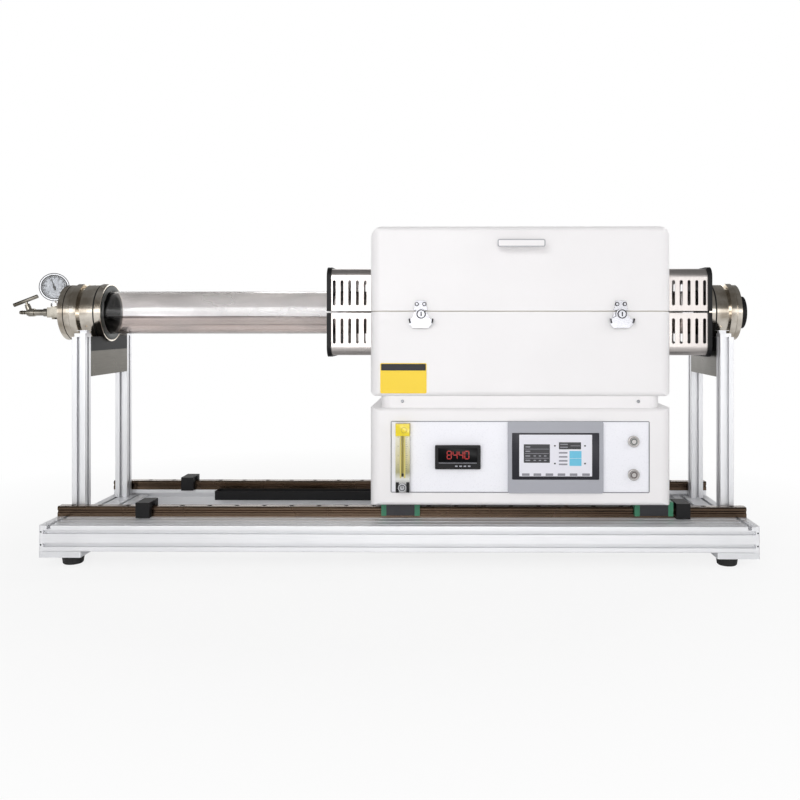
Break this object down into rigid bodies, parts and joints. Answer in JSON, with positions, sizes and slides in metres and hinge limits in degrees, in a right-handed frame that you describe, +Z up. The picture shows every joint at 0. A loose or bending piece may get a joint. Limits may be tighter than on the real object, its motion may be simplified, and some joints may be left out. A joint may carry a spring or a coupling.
{
  "type": "tube furnace",
  "caption": "Hinged split tube furnace that slides on rails along a clear work tube held between vacuum flanges, with a control box below",
  "frame": {"origin": "on the floor, under the middle of the whole object's box", "axes": "+X along the tube towards the vacuum port, +Y to the back, +Z up"},
  "size_m": [1.7258, 0.49, 0.712],
  "materials": {
    "alu_profile": "anodised satin",
    "foot_rubber": "matte",
    "rail_steel": "ground",
    "black_block": "satin black",
    "black_plastic": "matte",
    "trim_black": "satin black",
    "stainless_dark": "brushed",
    "stainless": "polished sheet",
    "quartz": "clear",
    "fibre": "matte fibre board",
    "flange_steel": "turned",
    "seal_rubber": "matte",
    "screw_steel": "satin",
    "fitting_steel": "turned",
    "gauge_chrome": "polished",
    "gauge_glass": "clear",
    "dial_white": "satin",
    "needle_black": "matte",
    "carriage_steel": "dark ground",
    "cap_green": "moulded",
    "white_powder": "powder coat",
    "panel_white": "smooth",
    "heater_wire": "oxidised",
    "hinge_steel": "satin",
    "latch_steel": "bright",
    "flow_acrylic": "clear acrylic",
    "float_dark": "turned",
    "knob_chrome": "knurled",
    "meter_black": "moulded",
    "screen_grey": "moulded",
    "button_steel": "satin",
    "power_grey": "varnished"
  },
  "bodies": {
    "base": {"side_beams": "alu_profile", "cross_members": "alu_profile", "rubber_feet": "foot_rubber", "beam_end_caps": "alu_profile", "linear_rails": "rail_steel", "rail_stops": "black_block", "cable_trough": "black_plastic", "support_posts": "alu_profile", "saddle_plates": "stainless_dark", "tube_cradles": "black_block", "post_caps": "alu_profile", "quartz_tube": "quartz", "tube_plugs": "fibre", "clamp_rings": "flange_steel", "seal_sleeves": "flange_steel", "left_end_flange": "flange_steel", "right_end_flange": "flange_steel", "flange_seals": "seal_rubber", "flange_screws": "screw_steel", "gauge_tee": "fitting_steel", "gauge_case": "gauge_chrome", "gauge_glass": "gauge_glass", "gauge_dial": "dial_white", "valve_body": "fitting_steel"},
    "lid": {"chamber_lid": "white_powder", "lid_insulation": "fibre", "lid_heater": "heater_wire", "lid_guards": "stainless", "lid_guard_ends": "trim_black", "lid_handle": "white_powder", "lid_hinges": "hinge_steel", "latch_keepers": "latch_steel"},
    "left_latch": {"left_latch_wing": "latch_steel"},
    "right_latch": {"right_latch_wing": "latch_steel"},
    "float": {"flow_meter_float": "float_dark"},
    "flow_knob": {"flow_meter_knob": "knob_chrome"},
    "start_button": {"start_button": "button_steel"},
    "stop_button": {"stop_button": "button_steel"},
    "needle": {"gauge_needle": "needle_black"},
    "valve_handle": {"valve_handle": "fitting_steel"},
    "port_cap": {"port_cap": "black_plastic"},
    "furnace": {"carriages": "carriage_steel", "carriage_end_caps": "cap_green", "control_box": "white_powder", "control_panel": "panel_white", "rear_panel": "white_powder", "plinth": "white_powder", "chamber_shell": "white_powder", "lower_insulation": "fibre", "lower_heater": "heater_wire", "lower_guards": "stainless", "lower_guard_ends": "trim_black", "thermocouple": "fitting_steel", "hinge_brackets": "hinge_steel", "latch_bases": "latch_steel", "flow_meter_body": "flow_acrylic", "panel_meter": "meter_black", "touch_screen": "screen_grey", "button_rings": "button_steel", "power_unit": "power_grey"}
  },
  "joints": [
    {"name": "furnace_slide", "type": "slide", "parent": "base", "child": "furnace", "axis": [1, 0, 0], "range_m": [-0.496, 0]},
    {"name": "lid_hinge", "type": "hinge", "parent": "furnace", "child": "lid", "pos_m": [0.32593, 0.222, 0.532], "axis": [-1, 0, 0], "range_deg": [0, 90]},
    {"name": "left_latch_turn", "type": "hinge", "parent": "furnace", "child": "left_latch", "pos_m": [0.11492, -0.2185, 0.526], "axis": [0, 1, 0], "range_deg": [0, 180]},
    {"name": "right_latch_turn", "type": "hinge", "parent": "furnace", "child": "right_latch", "pos_m": [0.53692, -0.2185, 0.526], "axis": [0, 1, 0], "range_deg": [0, 180]},
    {"name": "float_rise", "type": "slide", "parent": "furnace", "child": "float", "axis": [0, 0, 1], "range_m": [0, 0.085]},
    {"name": "flow_knob_turn", "type": "hinge", "parent": "furnace", "child": "flow_knob", "pos_m": [0.07742, -0.224, 0.163], "axis": [0, 1, 0], "range_deg": [0, 720]},
    {"name": "start_button_press", "type": "slide", "parent": "furnace", "child": "start_button", "axis": [0, 1, 0], "range_m": [0, 0.003], "stiffness_N_per_m": 400, "springref_m": -0.002},
    {"name": "stop_button_press", "type": "slide", "parent": "furnace", "child": "stop_button", "axis": [0, 1, 0], "range_m": [0, 0.003], "stiffness_N_per_m": 400, "springref_m": -0.002},
    {"name": "needle_turn", "type": "hinge", "parent": "base", "child": "needle", "pos_m": [-0.76336, -0.00363, 0.592], "axis": [-0.4226, 0.9063, 0], "range_deg": [-117, 153], "stiffness_Nm_per_rad": 0.0005},
    {"name": "valve_turn", "type": "hinge", "parent": "base", "child": "valve_handle", "pos_m": [-0.82256, 0, 0.532], "axis": [-0.3584, 0, 0.9336], "range_deg": [0, 90]},
    {"name": "port_cap_pull", "type": "slide", "parent": "base", "child": "port_cap", "axis": [1, 0, 0], "range_m": [0, 0.06]}
  ]
}
